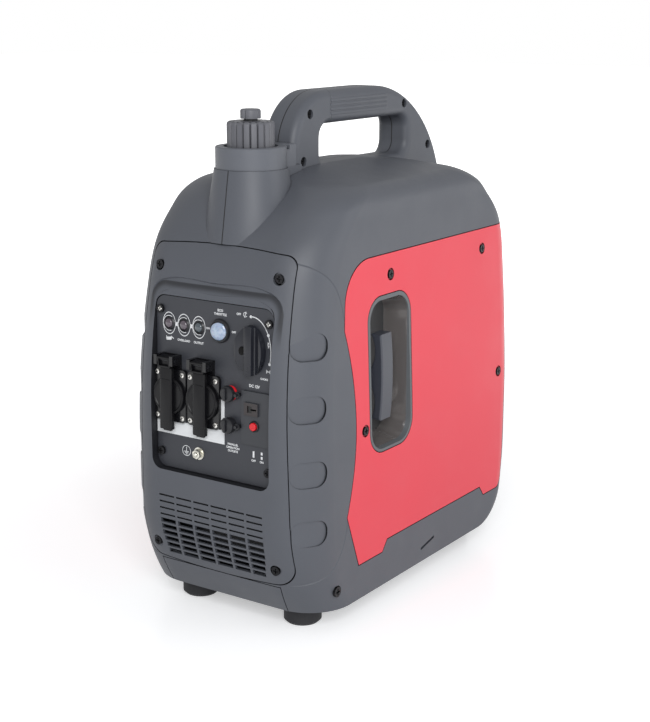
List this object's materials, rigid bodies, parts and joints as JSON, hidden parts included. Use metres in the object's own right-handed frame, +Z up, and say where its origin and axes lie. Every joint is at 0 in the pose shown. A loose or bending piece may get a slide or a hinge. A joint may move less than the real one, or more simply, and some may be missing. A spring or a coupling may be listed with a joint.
{
  "type": "portable generator",
  "caption": "Enclosed inverter generator with carrying handle, fuel cap, control panel with covered sockets and a recoil starter in its side.",
  "frame": {"origin": "on the floor under the middle of the length and width", "axes": "+Z up, the control panel faces -Y, the starter side faces +X"},
  "size_m": [0.2382, 0.4632, 0.54],
  "materials": {
    "housing_plastic": "fine moulded grain",
    "red_plastic": "satin gloss",
    "black_plastic": "fine texture",
    "gloss_black": "gloss",
    "jack_plastic": "gloss",
    "white_plastic": "satin",
    "rubber_black": "matte",
    "rubber_red": "matte",
    "zinc_steel": "zinc plated",
    "painted_steel": "black paint",
    "forged_steel": "machined",
    "engine_aluminium": "cast",
    "stator_steel": "laminated core with windings",
    "rope_fibre": "braided",
    "red_lens": "translucent red",
    "green_lens": "translucent green"
  },
  "bodies": {
    "generator": {"air_cleaner_box": "black_plastic", "base_pan": "black_plastic", "carburettor": "engine_aluminium", "control_panel": "black_plastic", "cover_screws": "zinc_steel", "crankcase": "engine_aluminium", "crankshaft_bearings": "zinc_steel", "cylinder": "engine_aluminium", "cylinder_head": "engine_aluminium", "dc_outlet": "gloss_black", "eco_switch_body": "black_plastic", "engine_switch_body": "black_plastic", "exhaust_outlet": "zinc_steel", "fan_shroud": "black_plastic", "filler_collar": "housing_plastic", "foot_screws": "zinc_steel", "front_cover": "housing_plastic", "fuel_hose": "rubber_black", "fuel_tank": "black_plastic", "ground_terminal": "zinc_steel", "housing_screws": "zinc_steel", "indicator_bezels": "black_plastic", "inverter_unit": "engine_aluminium", "left_housing": "housing_plastic", "left_side_cover": "red_plastic", "mains_sockets": "gloss_black", "muffler": "painted_steel", "output_lens": "green_lens", "parallel_jacks": "jack_plastic", "rear_cover": "housing_plastic", "recoil_housing": "black_plastic", "right_housing": "housing_plastic", "right_side_cover": "red_plastic", "rope_guide": "black_plastic", "rubber_feet": "rubber_black", "rubber_mounts": "rubber_black", "socket_backing_plate": "white_plastic", "socket_lid_pins": "zinc_steel", "spark_plug": "zinc_steel", "starter_pocket": "gloss_black", "stator": "stator_steel", "tank_cradle": "painted_steel", "warning_lenses": "red_lens"},
    "cap_seal": {"cap_gasket": "rubber_black"},
    "fuel_cap": {"fuel_cap": "black_plastic"},
    "cap_vent": {"cap_vent_knob": "black_plastic"},
    "engine_switch": {"engine_switch_knob": "black_plastic"},
    "eco_switch": {"eco_switch_rocker": "white_plastic"},
    "lid_left": {"socket_lid_left": "gloss_black"},
    "lid_right": {"socket_lid_right": "gloss_black"},
    "jack_cap_red": {"jack_cap_red": "rubber_red"},
    "jack_cap_black": {"jack_cap_black": "rubber_black"},
    "breaker": {"dc_breaker_button": "white_plastic"},
    "starter": {"starter_grip": "black_plastic", "starter_rope": "rope_fibre"},
    "reel": {"recoil_reel": "black_plastic", "rope_coil": "rope_fibre"},
    "rotor": {"crankshaft": "forged_steel", "magnet_rotor": "painted_steel", "cooling_fan": "black_plastic"}
  },
  "joints": [
    {"name": "fuel_cap_lift", "type": "slide", "parent": "generator", "child": "cap_seal", "axis": [0, 0, 1], "range_m": [0, 0.06]},
    {"name": "fuel_cap_turn", "type": "hinge", "parent": "cap_seal", "child": "fuel_cap", "pos_m": [0, -0.1455, 0.515], "axis": [0, 0, 1], "range_deg": [0, 100]},
    {"name": "cap_vent_turn", "type": "hinge", "parent": "fuel_cap", "child": "cap_vent", "pos_m": [0, -0.1455, 0.515], "axis": [0, 0, 1], "range_deg": [0, 90]},
    {"name": "engine_switch_turn", "type": "hinge", "parent": "generator", "child": "engine_switch", "pos_m": [0.0475, -0.21017, 0.29858], "axis": [0, 0.9996, -0.0279], "range_deg": [0, 118]},
    {"name": "eco_switch_rock", "type": "hinge", "parent": "generator", "child": "eco_switch", "pos_m": [0.008, -0.21102, 0.31301], "axis": [0, 0.0279, 0.9996], "range_deg": [-16, 0]},
    {"name": "socket_lid_left_open", "type": "hinge", "parent": "generator", "child": "lid_left", "pos_m": [-0.0541, -0.22177, 0.2773], "axis": [-1, 0, 0], "range_deg": [0, 100], "stiffness_Nm_per_rad": 0.02, "springref_deg": -28.65},
    {"name": "socket_lid_right_open", "type": "hinge", "parent": "generator", "child": "lid_right", "pos_m": [-0.0111, -0.22177, 0.2773], "axis": [-1, 0, 0], "range_deg": [0, 100], "stiffness_Nm_per_rad": 0.02, "springref_deg": -28.65},
    {"name": "jack_cap_red_swing", "type": "hinge", "parent": "generator", "child": "jack_cap_red", "pos_m": [0.0326, -0.21147, 0.252], "axis": [0, 0.9996, -0.0279], "range_deg": [0, 90]},
    {"name": "jack_cap_black_swing", "type": "hinge", "parent": "generator", "child": "jack_cap_black", "pos_m": [0.0326, -0.21238, 0.21951], "axis": [0, -0.9996, 0.0279], "range_deg": [0, 90]},
    {"name": "dc_breaker_press", "type": "slide", "parent": "generator", "child": "breaker", "axis": [0, 0.9996, -0.0279], "range_m": [0, 0.002], "stiffness_N_per_m": 400},
    {"name": "starter_pull", "type": "slide", "parent": "generator", "child": "starter", "axis": [1, 0, 0], "range_m": [0, 0.6], "stiffness_N_per_m": 15, "springref_m": -0.8},
    {"name": "recoil_reel_spin", "type": "hinge", "parent": "generator", "child": "reel", "pos_m": [0, -0.063, 0.2087], "axis": [0, 1, 0], "range_deg": [0, 835]},
    {"name": "rotor_spin", "type": "hinge", "parent": "generator", "child": "rotor", "pos_m": [0, 0, 0.2087], "axis": [0, 1, 0], "continuous": true}
  ],
  "couplings": [
    {"joint": "recoil_reel_spin", "follows": "starter_pull", "rad_per_m": 24.213}
  ]
}
